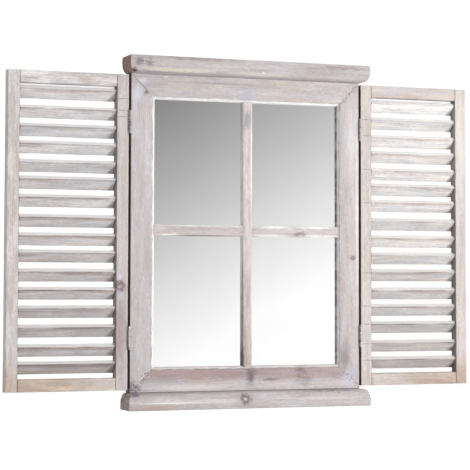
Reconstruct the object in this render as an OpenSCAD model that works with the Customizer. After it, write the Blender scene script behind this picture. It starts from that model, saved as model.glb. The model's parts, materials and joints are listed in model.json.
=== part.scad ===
// Window-style wall mirror with two louvred shutters, in limed softwood.
// X runs across the mirror, Y runs into the wall, Z is up. The origin is at the
// middle of the underside of the sill. The shutters are modelled swung open.

/* [Overall] */
// Height from the underside of the sill to the top of the cornice
overall_h = 600; // [520:1:720]
// Width of the mirror frame, without the cornice's overhang
frame_w = 426; // [380:1:500]

/* [Cornice and sill] */
// Height of the cornice board
cornice_h = 28.5; // [24:0.5:36]
// Height of the quarter round under the cornice's edge
cornice_round_h = 17; // [8:0.5:20]
// Height of the sill board
sill_h = 28.5; // [24:0.5:36]
// Height of the round over the sill's edge
sill_round_h = 19; // [8:0.5:21]
// How far both rounds reach in from the edge
board_round_w = 9.5; // [6:0.5:12]
// How far the boards stand forward of the frame
board_proud = 28; // [26:0.5:34]
// How far the boards run past each side of the frame
board_overhang = 9.5; // [6:0.5:14]
// Flat taken off the boards' sharp edges
board_arris = 0.8; // [0.4:0.1:1.5]

/* [Frame] */
// Thickness of the frame members, front to back
frame_t = 22; // [20:0.5:28]
// Width of each frame member
member_w = 43; // [40:0.5:52]
// Flat outer part of the moulded face
flat_w = 26; // [22:0.5:28]
// How much the inner part of the face slopes down
slope_drop = 1; // [0.5:0.1:1.5]
// Width of the quirk, the small groove before the nosing
quirk_w = 1.2; // [0.8:0.1:2]
// Depth of the quirk
quirk_d = 0.8; // [0.4:0.1:1]
// Width of the rounded nosing at the opening
nose_w = 4.3; // [3:0.1:5]
// Drop of the rounded nosing
nose_d = 3; // [2:0.1:3.5]
// Flat taken off the frame's outer front edge
frame_arris = 1; // [0.5:0.1:2]
// Width of the rebate that holds the glass
rebate_w = 8; // [7:0.5:10]
// Depth of the glass behind the frame's face
glass_set = 7; // [6.5:0.1:9]

/* [Glazing bars] */
// Width of each glazing bar
bar_w = 19; // [16:0.5:24]
// How far the bars' faces lie behind the frame's face
bar_set = 1.2; // [1:0.1:1.6]
// Width of the rounding along the bars' edges
bar_round_w = 3.2; // [2:0.1:4]
// Depth of the rounding along the bars' edges
bar_round_d = 2.4; // [1.5:0.1:2.6]
// How far the cross bar sits above the middle of the opening
crossbar_rise = 4.5; // [0:0.5:20]
// Thickness of the tongue that laps each bar's end behind the frame's lip
tongue_t = 1.8; // [1.2:0.1:2]

/* [Mirror and back] */
// Thickness of the mirror glass
glass_t = 3; // [3:0.5:4]
// Thickness of the hardboard behind the glass
panel_t = 3; // [2:0.5:4]
// Gap between the glass and the side of the rebate
glass_fit = 1; // [0.5:0.1:1.5]
// Flat ground on the edges of the glass
glass_arris = 0.4; // [0.2:0.1:0.8]
// Length of a glazing point
point_l = 15; // [12:0.5:18]
// Width of a glazing point
point_w = 8; // [6:0.5:10]
// Thickness of a glazing point
point_t = 0.6; // [0.4:0.1:0.8]
// How deep a glazing point is driven into the frame
point_bite = 5; // [4:0.5:6]
// Distance of the outer glazing points from the corners of the opening
point_inset = 55; // [40:1:80]

/* [Shutters] */
// Thickness of the shutters
shutter_t = 18; // [17:0.5:20]
// Width of the shutters' stiles
stile_w = 21; // [18:0.5:26]
// Height of the shutters' rails
rail_h = 21; // [18:0.5:30]
// Gap between the shutters and the cornice
shutter_top_gap = 3; // [2:0.5:6]
// Gap between the shutters and the sill
shutter_bottom_gap = 5; // [2:0.5:8]
// Gap between the two shutters when they are closed
meeting_gap = 5; // [4:0.5:10]
// Flat taken off the long edges of stiles and rails
shutter_arris = 0.8; // [0.4:0.1:1.2]
// Length of the tenons on the rails
tenon_l = 12; // [8:0.5:14]
// Thickness of the tenons on the rails
tenon_t = 6; // [4:0.5:8]
// Shoulder above and below each tenon
tenon_shoulder = 3; // [2:0.5:5]

/* [Slats] */
// Number of slats in each shutter
slat_count = 16; // [10:1:16]
// Thickness of a slat
slat_t = 9; // [6:0.5:10]
// Tilt of the slats from level, with the front edge high
slat_angle = 44; // [38:1:50]
// Largest change of tilt from slat to slat, as fitted by hand
slat_sway = 0.8; // [0:0.1:1]
// Rounding of the slats' edges
slat_round = 1; // [0.5:0.1:2]
// How far the slats' front edges lie behind the faces of the stiles
slat_front_set = 2; // [1.5:0.1:4]
// How far the slats are planed back from the backs of the stiles
slat_back_set = 0.2; // [0.1:0.1:1]
// How far the slats' ends are let into notches in the stiles, open at the back
slat_let_in = 5; // [3:0.5:8]
// Gap between the top rail and the first slat
slat_top_gap = 3; // [3:0.5:8]
// Gap between the last slat and the bottom rail
slat_bottom_gap = 7.5; // [4:0.5:12]

/* [Hinges] */
// Gap between the frame and an open shutter
hinge_gap = 3.6; // [3.2:0.1:4.4]
// Length of a hinge
hinge_h = 38; // [32:1:50]
// Width of a hinge leaf on the wood
leaf_w = 12; // [10:0.5:14]
// Thickness of a hinge leaf
leaf_t = 1; // [0.8:0.1:1.2]
// Outer radius of the knuckles
knuckle_r = 2.4; // [2.2:0.1:2.8]
// Radius of the hinge pin
pin_r = 1.1; // [0.9:0.1:1.2]
// Radius of the heads on the hinge pin
pin_head_r = 1.8; // [1.6:0.1:2]
// Height of the heads on the hinge pin
pin_head_h = 0.8; // [0.5:0.1:1.2]
// From the top of the shutter to the upper hinge
hinge_top_inset = 61.5; // [40:0.5:100]
// From the bottom of the shutter to the lower hinge
hinge_bottom_inset = 69; // [40:0.5:100]
// Radius of the hinge screws' shanks
screw_r = 1.1; // [0.9:0.1:1.3]
// Radius of the hinge screws' heads
screw_head_r = 2.1; // [1.8:0.1:2.4]
// Length of the hinge screws
screw_l = 10; // [8:0.5:14]
// Distance of the hinge screws from the ends of the leaf
screw_inset = 8; // [6:0.5:10]

/* [Hanger plates] */
// Width of a hanger plate
hanger_w = 16; // [15:0.5:18]
// Height of a hanger plate
hanger_h = 46; // [44:1:60]
// Thickness of a hanger plate
hanger_t = 1.5; // [1:0.1:2]
// Radius of the keyhole's round entry
keyhole_r = 4.5; // [4:0.1:5]
// Width of the keyhole's slot
keyslot_w = 4.6; // [4:0.1:5]
// Rise from the entry to the end of the slot
keyslot_rise = 10; // [8:0.5:12]
// Depth of the pocket for the wall screw's head
pocket_d = 7; // [5:0.5:8]
// From the top of the frame to the middle of a hanger plate
hanger_drop = 62; // [55:1:120]
// Radius of the hanger screws' shanks
hanger_screw_r = 1.4; // [1.2:0.1:1.6]
// Radius of the hanger screws' heads
hanger_screw_head_r = 2.8; // [2.4:0.1:3]
// Length of the hanger screws
hanger_screw_l = 13; // [10:0.5:14]

/* [Hidden] */
// Curves drawn as true circles
$fn = 48;
// Number of short flats in each moulded round
round_steps = 8;
// A little more than a cut needs, so that it breaks the surface
over = 1;

// Clearances
// Round a slat in its notch, and at its ends
slat_fit = 0.1;
slat_end_fit = 0.2;
// Round a tenon in its mortise, and at its end
tenon_fit = 0.1;
tenon_end_fit = 0.5;
// Between a glazing bar and the notch or bar that it laps
lap_fit = 0.1;
// Round a glazing point in its slot
point_fit = 0.08;
// Round the hinge pin in the knuckles
pin_fit = 0.05;
// Between the ends of neighbouring knuckles
knuckle_gap = 0.3;
// Round the knuckles where wood and the other leaf pass
knuckle_clear = 0.36;
// Between the heads of the pin and the outer knuckles
pin_head_gap = 0.1;
// Round a screw in metal, and in wood
screw_fit = 0.1;
// Round a hanger plate in its recess
hanger_fit = 0.15;
// Round a wall screw's head in its pocket
pocket_fit = 2;

// Places along Y
total_depth = frame_t + board_proud;
wall_y = total_depth / 2;
face_y = wall_y - frame_t;
board_front_y = -total_depth / 2;
glass_y = face_y + glass_set;
panel_y = glass_y + glass_t;
point_y = panel_y + panel_t;

// Places along Z
frame_bottom = sill_h;
frame_top = overall_h - cornice_h;
frame_mid = (frame_bottom + frame_top) / 2;
open_bottom = frame_bottom + member_w;
open_top = frame_top - member_w;
crossbar_z = (open_bottom + open_top) / 2 + crossbar_rise;
shutter_bottom = frame_bottom + shutter_bottom_gap;
shutter_top = frame_top - shutter_top_gap;
shutter_h = shutter_top - shutter_bottom;

// Places along X
half_w = frame_w / 2;
open_w = frame_w - 2 * member_w;
open_h = open_top - open_bottom;
board_half = half_w + board_overhang;
shutter_w = half_w - meeting_gap / 2;
shutter_in = half_w + hinge_gap;
shutter_out = shutter_in + shutter_w;
axis_x = half_w + hinge_gap / 2;

// Moulded face, worked out across the member
slope_end = member_w - nose_w - quirk_w;
land_w = member_w - rebate_w;
lap_y = face_y + (bar_set + glass_set) / 2;
tongue_w = bar_w - 2 * bar_round_w;

// Slats
shutter_mid_y = face_y + shutter_t / 2;
slat_nose_y = face_y + slat_front_set + slat_round;
slat_depth = shutter_t - slat_front_set - slat_back_set;
slat_w = (slat_depth + 2 * slat_round) / cos(slat_angle + slat_sway);
slat_above = (slat_t - 2 * slat_round) * cos(slat_angle) + slat_round;
slat_slope_l = slat_depth - slat_round + slat_round * sin(slat_angle);
slat_below = slat_round * cos(slat_angle) + slat_slope_l * tan(slat_angle);
slat_top_z = shutter_top - rail_h - slat_top_gap - slat_above;
slat_last_z = shutter_bottom + rail_h + slat_bottom_gap + slat_below;
slat_pitch = (slat_top_z - slat_last_z) / (slat_count - 1);
// Step in degrees that makes the small changes of tilt look random
sway_step = 137;
// How far each slat sits above its even place, from the top one down
left_slat_shifts = [0, -2.5, -2, -0.5, -1, 2, 2, -0.5, -0.5, 1.5, 1, 1, 1, 0, -2, 0.5];
right_slat_shifts = [-1, -1, -1.5, 0, 0, 3, 4, 2, 2, 2, 3, 0.5, 2, 2, -1, 0.5];

// Hinges: the pin stands forward so that the knuckle clears both wooden corners
pin_proud = sqrt(pow(knuckle_r + knuckle_clear, 2) - pow(hinge_gap / 2, 2));
pin_y = face_y - pin_proud;
frame_knuckles = [0, 2, 4];
shutter_knuckles = [1, 3];
knuckle_count = len(frame_knuckles) + len(shutter_knuckles);
knuckle_l = (hinge_h - (knuckle_count - 1) * knuckle_gap) / knuckle_count;
knuckle_step = knuckle_l + knuckle_gap;
upper_hinge_z = shutter_top - hinge_top_inset - hinge_h;
lower_hinge_z = shutter_bottom + hinge_bottom_inset;
hinge_zs = [lower_hinge_z, upper_hinge_z];
screw_y = pin_proud + leaf_w / 2;
screw_zs = [screw_inset, hinge_h - screw_inset];

// A screw's point, as multiples of its radius: length, and radius at the very end
screw_tip_l = 3;
screw_tip_r = 0.25;

// Hanger plates, on the flat land behind each stile
hanger_x = half_w - land_w / 2;
hanger_z = frame_top - hanger_drop;
hanger_screw_off = hanger_h / 2 - hanger_w / 2 + hanger_screw_r;
pocket_r = keyhole_r + pocket_fit;

// Glazing points along the sides of the rebate
stile_point_zs = [open_bottom + point_inset, frame_mid, open_top - point_inset];
rail_point_x = open_w / 2 - point_inset;

// Colours
limed = "#d6cec9";
limed_light = "#dfd9d5";
limed_slat = "#d3cccd";
steel = "#b9bbbd";
hardboard = "#8a6a4c";

function slat_name(side, i) = str(side, "_slat_", i < 10 ? "0" : "", i);
function slat_shifts(side) = side == "left" ? left_slat_shifts : right_slat_shifts;
function slat_shift(side, i) = slat_shifts(side)[(i - 1) % len(slat_shifts(side))];
function slat_z(side, i) = slat_top_z - (i - 1) * slat_pitch + slat_shift(side, i);
function slat_number(side, i) = i + (side == "left" ? 0 : slat_count);
function slat_tilt(side, i) = slat_angle + slat_sway * sin(sway_step * slat_number(side, i));

// ---- shared shapes ----

// Extrudes a profile along X, with the profile's x as Y and its y as Z
module along_x(length) {
    rotate([90, 0, 90]) linear_extrude(length, center = true) children();
}

// Extrudes a profile along Y, with the profile's x as X and its y as Z
module along_y(length) {
    rotate([90, 0, 0]) mirror([0, 0, 1]) linear_extrude(length) children();
}

// A rectangle with a small flat on each corner, from one corner at the origin
module arris_rect(w, h, a) {
    polygon([[a, 0], [w - a, 0], [w, a], [w, h - a], [w - a, h], [a, h], [0, h - a], [0, a]]);
}

// A rectangle with round corners, centred
module round_rect(w, h, r) {
    square([w - 2 * r, h], center = true);
    square([w, h - 2 * r], center = true);
    for (x = [-1, 1], y = [-1, 1]) translate([x * (w / 2 - r), y * (h / 2 - r)]) circle(r);
}

// An upright bar with round ends, centred
module stadium(w, h) {
    square([w, h - w], center = true);
    for (z = [-1, 1]) translate([0, z * (h - w) / 2]) circle(w / 2);
}

// A countersunk screw along +X, with the face of its head at the origin
module wood_screw(r, head_r, head_h, length) {
    tip_l = screw_tip_l * r;
    rotate([0, 90, 0]) {
        cylinder(head_h, head_r, r);
        cylinder(length - tip_l, r = r);
        translate([0, 0, length - tip_l]) cylinder(tip_l, r, screw_tip_r * r);
    }
}

// The hole in the wood for a screw of this length along +X
module screw_hole(r, length) {
    rotate([0, 90, 0]) cylinder(length + screw_fit, r = r + screw_fit);
}

// The countersunk hole through a metal plate of thickness t, along +X from its outer face
module countersink(r, head_r, t) {
    rotate([0, 90, 0]) {
        cylinder(t + screw_fit, head_r + screw_fit, r + screw_fit);
        translate([0, 0, -over]) cylinder(t + 2 * over, r = r + screw_fit);
    }
}

// ---- cornice and sill ----

// Points up a board's moulded edge, in (distance out, height): a quarter round that
// reaches in by board_round_w and stands round_h high, over a square lower edge
function board_edge(reach, height, round_h) = concat(
    [[reach - board_arris, 0], [reach, board_arris]],
    [for (s = [0:round_steps])
        let (a = 90 * s / round_steps)
        [reach - board_round_w * (1 - cos(a)), height - round_h * (1 - sin(a))]]
);

// The same round is worked on the front edge and returned on both ends
module moulded_board(height, round_h) {
    front = board_edge(total_depth, height, round_h);
    end = board_edge(board_half, height, round_h);
    intersection() {
        along_x(2 * board_half) translate([wall_y, 0]) mirror([1, 0])
            polygon(concat([[0, height], [0, 0]], front));
        translate([0, board_front_y, 0]) along_y(total_depth)
            polygon(concat(end, [for (i = [len(end) - 1:-1:0]) [-end[i][0], end[i][1]]]));
    }
}

module cornice() {
    color(limed) translate([0, 0, overall_h]) mirror([0, 0, 1]) moulded_board(cornice_h, cornice_round_h);
}

module sill() {
    color(limed) moulded_board(sill_h, sill_round_h);
}

// ---- mitred frame ----

// Section of a frame member in (distance from the outer edge, depth behind the face)
module member_section() {
    nosing = [for (s = [0:round_steps])
        let (a = 90 * s / round_steps)
        [member_w - nose_w * (1 - sin(a)), slope_drop + nose_d * (1 - cos(a))]];
    polygon(concat(
        [[0, frame_t], [0, frame_arris], [frame_arris, 0], [flat_w, 0], [slope_end, slope_drop],
            [slope_end + quirk_w / 2, slope_drop + quirk_d]],
        nosing,
        [[member_w, glass_set], [land_w, glass_set], [land_w, frame_t]]
    ));
}

// A member along X between two mitres, with its outer edge at z = 0 and the opening above
module mitred_rail() {
    intersection() {
        along_x(frame_w) translate([face_y, 0]) mirror([1, -1]) member_section();
        translate([0, face_y - over, 0]) along_y(frame_t + 2 * over)
            polygon([[-half_w, 0], [half_w, 0], [open_w / 2, member_w], [-open_w / 2, member_w]]);
    }
}

// The left stile, from mitre to mitre
module mitred_stile() {
    intersection() {
        translate([-half_w, face_y, frame_bottom]) linear_extrude(frame_top - frame_bottom) member_section();
        translate([-half_w, face_y - over, 0]) along_y(frame_t + 2 * over)
            polygon([[0, frame_bottom], [member_w, open_bottom], [member_w, open_top], [0, frame_top]]);
    }
}

// Notch through the lip for the tongue of a bar, outwards along +Z from the opening's edge
module tongue_notch() {
    translate([-tongue_w / 2 - lap_fit, glass_y - tongue_t - lap_fit, -over])
        cube([tongue_w + 2 * lap_fit, tongue_t + lap_fit + over, rebate_w + lap_fit + over]);
}

// Slot that a glazing point is driven into, outwards along +Z from the side of the rebate
module point_slot() {
    translate([-point_w / 2 - point_fit, point_y - point_fit, -over])
        cube([point_w + 2 * point_fit, point_t + 2 * point_fit, point_bite + point_fit + over]);
}

module frame_top_rail() {
    color(limed) difference() {
        translate([0, 0, frame_top]) mirror([0, 0, 1]) mitred_rail();
        translate([0, 0, open_top]) tongue_notch();
        for (x = [-1, 1]) translate([x * rail_point_x, 0, frame_top - land_w]) point_slot();
    }
}

module frame_bottom_rail() {
    color(limed) difference() {
        translate([0, 0, frame_bottom]) mitred_rail();
        translate([0, 0, open_bottom]) mirror([0, 0, 1]) tongue_notch();
        for (x = [-1, 1]) translate([x * rail_point_x, 0, frame_bottom + land_w])
            mirror([0, 0, 1]) point_slot();
    }
}

// Recess and pocket for the hanger plate behind the left stile
module hanger_recess() {
    translate([-hanger_x, wall_y, hanger_z]) mirror([0, 1, 0]) translate([0, -over, 0]) {
        along_y(hanger_t + over) stadium(hanger_w + 2 * hanger_fit, hanger_h + 2 * hanger_fit);
        along_y(hanger_t + pocket_d + over) stadium(2 * pocket_r, keyslot_rise + 2 * pocket_r);
    }
    at_hanger_screws() screw_hole(hanger_screw_r, hanger_screw_l);
}

// Places its child at each screw of the left hanger plate, pointing into the wood
module at_hanger_screws() {
    for (s = [-1, 1]) translate([-hanger_x, wall_y, hanger_z + s * hanger_screw_off])
        rotate([0, 0, -90]) children();
}

// Places its child at each hinge screw in the left side of the frame, pointing into the wood
module at_frame_hinge_screws() {
    for (z = hinge_zs, s = screw_zs) translate([-half_w - leaf_t, pin_y + screw_y, z + s]) children();
}

// Places its child at each hinge screw in the left shutter, pointing into the wood
module at_shutter_hinge_screws() {
    for (z = hinge_zs, s = screw_zs) translate([-shutter_in + leaf_t, pin_y + screw_y, z + s])
        mirror([1, 0, 0]) children();
}

// The left stile with all that is cut into it
module frame_stile() {
    difference() {
        mitred_stile();
        translate([-open_w / 2, 0, crossbar_z]) rotate([0, -90, 0]) tongue_notch();
        for (z = stile_point_zs) translate([-half_w + land_w, 0, z]) rotate([0, -90, 0]) point_slot();
        at_frame_hinge_screws() screw_hole(screw_r, screw_l);
        hanger_recess();
    }
}

module frame_left_stile() {
    color(limed) frame_stile();
}

module frame_right_stile() {
    color(limed) mirror([1, 0, 0]) frame_stile();
}

// ---- glazing bars ----

// Section of a bar in (distance from its middle, depth behind the frame's face)
module bar_section() {
    rounding = [for (s = [0:round_steps])
        let (a = 90 * s / round_steps)
        [bar_w / 2 - bar_round_w * (1 - cos(a)), bar_set + bar_round_d * (1 - sin(a))]];
    polygon(concat([[-bar_w / 2, glass_set], [bar_w / 2, glass_set]], rounding,
        [for (s = [round_steps:-1:0]) [-rounding[s][0], rounding[s][1]]]));
}

module upright_body() {
    translate([0, face_y, open_bottom - nose_w]) linear_extrude(open_h + 2 * nose_w) bar_section();
}

module cross_body() {
    translate([0, 0, crossbar_z]) along_x(open_w + 2 * nose_w)
        translate([face_y, 0]) mirror([1, -1]) bar_section();
}

// Tongue on a bar's end, outwards along +Z from the opening's edge
module tongue() {
    translate([-tongue_w / 2, glass_y - tongue_t, -tongue_t]) cube([tongue_w, tongue_t, rebate_w + tongue_t]);
}

// A block at the crossing, from one depth to another, half_x wide and half_z high each way
module crossing_block(from_y, to_y, half_x, half_z) {
    translate([-half_x, from_y, crossbar_z - half_z]) cube([2 * half_x, to_y - from_y, 2 * half_z]);
}

// The upright keeps the front half at the crossing, shaped there as both bars are
module upright_bar() {
    color(limed_light) {
        difference() {
            union() {
                upright_body();
                intersection() {
                    cross_body();
                    crossing_block(face_y, glass_y, bar_w / 2, bar_w / 2);
                }
            }
            crossing_block(lap_y, glass_y + over, bar_w / 2 + over, bar_w / 2 + lap_fit);
            translate([0, 0, frame_bottom]) mitred_rail();
            translate([0, 0, frame_top]) mirror([0, 0, 1]) mitred_rail();
        }
        translate([0, 0, open_top]) tongue();
        translate([0, 0, open_bottom]) mirror([0, 0, 1]) tongue();
    }
}

// The cross bar passes behind the upright
module cross_bar() {
    color(limed_light) {
        difference() {
            cross_body();
            crossing_block(face_y, lap_y, bar_w / 2 + lap_fit, bar_w / 2 + over);
            mitred_stile();
            mirror([1, 0, 0]) mitred_stile();
        }
        for (side = [0, 1]) mirror([side, 0, 0]) translate([-open_w / 2, 0, crossbar_z])
            rotate([0, -90, 0]) tongue();
    }
}

// ---- mirror glass, backing and glazing points ----

// A sheet that fills the rebate, apart from glass_fit all round
module rebate_sheet(front_y, t, arris) {
    w = open_w + 2 * (rebate_w - glass_fit);
    h = open_h + 2 * (rebate_w - glass_fit);
    intersection() {
        translate([-w / 2, front_y, frame_mid - h / 2]) cube([w, t, h]);
        translate([0, 0, frame_mid]) linear_extrude(h, center = true)
            translate([-w / 2, front_y]) arris_rect(w, t, arris);
        along_x(w) translate([front_y, frame_mid - h / 2]) arris_rect(t, h, arris);
    }
}

module mirror_glass() {
    color("#c3c9cb") rebate_sheet(glass_y, glass_t, glass_arris);
}

module back_panel() {
    color(hardboard) rebate_sheet(panel_y, panel_t, 0);
}

// A flat steel point: blunt over the backing, sharp in the wood along +Z
module glazing_point() {
    translate([0, point_y, 0]) along_y(point_t) polygon([
        [-point_w / 2, point_bite - point_l], [point_w / 2, point_bite - point_l],
        [point_w / 2, 0], [0, point_bite], [-point_w / 2, 0]
    ]);
}

module glazing_points() {
    color(steel) {
        for (side = [0, 1], z = stile_point_zs) mirror([side, 0, 0])
            translate([-half_w + land_w, 0, z]) rotate([0, -90, 0]) glazing_point();
        for (x = [-rail_point_x, rail_point_x]) {
            translate([x, 0, frame_top - land_w]) glazing_point();
            translate([x, 0, frame_bottom + land_w]) mirror([0, 0, 1]) glazing_point();
        }
    }
}

// ---- hanger plates ----

// Keyhole: a round entry below and a narrow slot above it
module keyhole() {
    translate([0, -keyslot_rise / 2]) circle(keyhole_r);
    translate([-keyslot_w / 2, -keyslot_rise / 2]) square([keyslot_w, keyslot_rise]);
    translate([0, keyslot_rise / 2]) circle(keyslot_w / 2);
}

module hanger_plate() {
    difference() {
        translate([-hanger_x, wall_y - hanger_t, hanger_z]) along_y(hanger_t) difference() {
            stadium(hanger_w, hanger_h);
            keyhole();
        }
        at_hanger_screws() countersink(hanger_screw_r, hanger_screw_head_r, hanger_t);
    }
}

module hanger_plates() {
    color(steel) for (side = [0, 1]) mirror([side, 0, 0]) hanger_plate();
}

module hanger_screws() {
    color(steel) for (side = [0, 1]) mirror([side, 0, 0]) at_hanger_screws()
        wood_screw(hanger_screw_r, hanger_screw_head_r, hanger_t, hanger_screw_l);
}

// ---- shutters, drawn as the left one ----

module shutter_stile(x) {
    translate([x, face_y, shutter_bottom]) linear_extrude(shutter_h)
        arris_rect(stile_w, shutter_t, shutter_arris);
}

// A rail between the stiles with a tenon at each end, with its lower edge at z
module shutter_rail(z) {
    length = shutter_w - 2 * stile_w;
    mid_x = -shutter_out + shutter_w / 2;
    translate([mid_x, 0, z]) along_x(length) translate([face_y, 0])
        arris_rect(shutter_t, rail_h, shutter_arris);
    translate([mid_x, 0, z + tenon_shoulder]) along_x(length + 2 * tenon_l)
        translate([shutter_mid_y - tenon_t / 2, 0]) square([tenon_t, rail_h - 2 * tenon_shoulder]);
}

// The mortises for both ends of the rail whose lower edge is at z
module rail_mortises(z) {
    translate([-shutter_out + shutter_w / 2, 0, z + tenon_shoulder - tenon_fit])
        along_x(shutter_w - 2 * stile_w + 2 * (tenon_l + tenon_end_fit))
            translate([shutter_mid_y - tenon_t / 2 - tenon_fit, 0])
                square([tenon_t + 2 * tenon_fit, rail_h - 2 * tenon_shoulder + 2 * tenon_fit]);
}

// The sloping stick that slat number i is planed from, or with a fit the notches for it.
// Its place is the middle of the rounding on its nose, the lower front edge
module slat_stick(side, i, fit = 0, end_fit = 0) {
    length = shutter_w - 2 * stile_w + 2 * (slat_let_in + end_fit);
    translate([-shutter_out + shutter_w / 2, slat_nose_y, slat_z(side, i)]) along_x(length)
        rotate(-slat_tilt(side, i)) translate([slat_w / 2 - slat_round, slat_t / 2 - slat_round])
            round_rect(slat_w + 2 * fit, slat_t + 2 * fit, slat_round + fit);
}

// Slat number i of a shutter, planed off at the back
module slat(side, i) {
    intersection() {
        slat_stick(side, i);
        translate([-shutter_out, face_y, shutter_bottom])
            cube([shutter_w, shutter_t - slat_back_set, shutter_h]);
    }
}

// Everything that is cut into the stiles of a shutter: mortises and notches
module stile_cuts(side) {
    rail_mortises(shutter_bottom);
    rail_mortises(shutter_top - rail_h);
    for (i = [1:slat_count]) slat_stick(side, i, slat_fit, slat_end_fit);
}

module hinge_stile(side) {
    difference() {
        shutter_stile(-shutter_in - stile_w);
        stile_cuts(side);
        at_shutter_hinge_screws() screw_hole(screw_r, screw_l);
    }
}

module meeting_stile(side) {
    difference() {
        shutter_stile(-shutter_out);
        stile_cuts(side);
    }
}

module left_hinge_stile() {
    color(limed) hinge_stile("left");
}

module left_meeting_stile() {
    color(limed) meeting_stile("left");
}

module left_top_rail() {
    color(limed) shutter_rail(shutter_top - rail_h);
}

module left_bottom_rail() {
    color(limed) shutter_rail(shutter_bottom);
}

module right_hinge_stile() {
    color(limed_light) mirror([1, 0, 0]) hinge_stile("right");
}

module right_meeting_stile() {
    color(limed_light) mirror([1, 0, 0]) meeting_stile("right");
}

module right_top_rail() {
    color(limed_light) mirror([1, 0, 0]) shutter_rail(shutter_top - rail_h);
}

module right_bottom_rail() {
    color(limed_light) mirror([1, 0, 0]) shutter_rail(shutter_bottom);
}

module left_slat(i) {
    color(limed_slat) slat("left", i);
}

module right_slat(i) {
    color(limed_slat) mirror([1, 0, 0]) slat("right", i);
}

// ---- hinges, drawn about a pin along Z with the wood towards +X and the wall towards +Y ----

// A leaf that carries the knuckles listed in own and leaves room for those in other
module hinge_leaf(own, other) {
    difference() {
        union() {
            translate([hinge_gap / 2 - leaf_t, 0, 0]) cube([leaf_t, pin_proud + leaf_w, hinge_h]);
            for (k = own) translate([0, 0, k * knuckle_step]) cylinder(knuckle_l, r = knuckle_r);
        }
        for (k = other) translate([0, 0, k * knuckle_step - knuckle_gap])
            cylinder(knuckle_l + 2 * knuckle_gap, r = knuckle_r + knuckle_clear);
        translate([0, 0, -over]) cylinder(hinge_h + 2 * over, r = pin_r + pin_fit);
        for (s = screw_zs) translate([hinge_gap / 2 - leaf_t, screw_y, s])
            countersink(screw_r, screw_head_r, leaf_t);
    }
}

// The pin, with a head at each end that keeps it in the knuckles
module hinge_pin() {
    translate([0, 0, -pin_head_gap]) cylinder(hinge_h + 2 * pin_head_gap, r = pin_r);
    for (side = [0, 1]) translate([0, 0, side * hinge_h]) mirror([0, 0, 1 - side])
        translate([0, 0, pin_head_gap]) {
            cylinder(pin_head_h / 2, r = pin_head_r);
            translate([0, 0, pin_head_h / 2]) cylinder(pin_head_h / 2, pin_head_r, pin_r);
        }
}

// Places its child at both pins of the left shutter
module at_left_pins() {
    for (z = hinge_zs) translate([-axis_x, pin_y, z]) children();
}

module left_shutter_leaves() {
    at_left_pins() mirror([1, 0, 0]) hinge_leaf(shutter_knuckles, frame_knuckles);
}

module frame_hinge_leaves() {
    color(steel) for (side = [0, 1]) mirror([side, 0, 0]) at_left_pins()
        hinge_leaf(frame_knuckles, shutter_knuckles);
}

module left_hinge_leaves() {
    color(steel) left_shutter_leaves();
}

module right_hinge_leaves() {
    color(steel) mirror([1, 0, 0]) left_shutter_leaves();
}

module hinge_pins() {
    color(steel) for (side = [0, 1]) mirror([side, 0, 0]) at_left_pins() hinge_pin();
}

module frame_hinge_screws() {
    color(steel) for (side = [0, 1]) mirror([side, 0, 0]) at_frame_hinge_screws()
        wood_screw(screw_r, screw_head_r, leaf_t, screw_l);
}

module left_hinge_screws() {
    color(steel) at_shutter_hinge_screws() wood_screw(screw_r, screw_head_r, leaf_t, screw_l);
}

module right_hinge_screws() {
    color(steel) mirror([1, 0, 0]) at_shutter_hinge_screws()
        wood_screw(screw_r, screw_head_r, leaf_t, screw_l);
}

// ---- draw each node ----
cornice();
sill();
frame_top_rail();
frame_bottom_rail();
frame_left_stile();
frame_right_stile();
upright_bar();
cross_bar();
mirror_glass();
back_panel();
glazing_points();
hanger_plates();
hanger_screws();
left_hinge_stile();
left_meeting_stile();
left_top_rail();
left_bottom_rail();
right_hinge_stile();
right_meeting_stile();
right_top_rail();
right_bottom_rail();
frame_hinge_leaves();
left_hinge_leaves();
right_hinge_leaves();
hinge_pins();
frame_hinge_screws();
left_hinge_screws();
right_hinge_screws();
for (i = [1:slat_count]) {
    left_slat(i);
    right_slat(i);
}
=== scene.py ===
# A window-style wall mirror in limed fir, with two louvred shutters that are swung open.
import bpy
import json
import math
import random
from mathutils import Matrix, Vector

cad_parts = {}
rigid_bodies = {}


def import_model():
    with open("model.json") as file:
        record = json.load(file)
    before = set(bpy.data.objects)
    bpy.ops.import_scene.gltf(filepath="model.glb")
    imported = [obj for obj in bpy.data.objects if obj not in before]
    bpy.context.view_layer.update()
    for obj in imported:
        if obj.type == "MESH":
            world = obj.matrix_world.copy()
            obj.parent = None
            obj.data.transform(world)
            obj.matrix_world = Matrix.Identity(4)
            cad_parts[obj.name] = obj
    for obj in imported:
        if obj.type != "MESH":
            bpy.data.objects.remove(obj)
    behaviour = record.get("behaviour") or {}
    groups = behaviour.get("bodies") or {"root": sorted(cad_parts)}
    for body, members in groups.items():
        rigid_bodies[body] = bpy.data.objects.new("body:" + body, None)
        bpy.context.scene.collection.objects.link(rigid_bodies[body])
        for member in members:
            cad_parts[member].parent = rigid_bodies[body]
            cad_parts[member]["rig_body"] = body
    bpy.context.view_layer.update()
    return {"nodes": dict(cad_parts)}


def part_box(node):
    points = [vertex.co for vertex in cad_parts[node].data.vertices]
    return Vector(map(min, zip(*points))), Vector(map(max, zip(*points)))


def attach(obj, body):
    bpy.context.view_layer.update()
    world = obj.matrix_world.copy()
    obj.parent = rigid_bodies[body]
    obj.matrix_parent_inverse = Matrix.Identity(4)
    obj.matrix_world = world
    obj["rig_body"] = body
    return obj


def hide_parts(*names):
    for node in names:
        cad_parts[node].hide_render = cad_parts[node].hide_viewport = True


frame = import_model()

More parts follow.
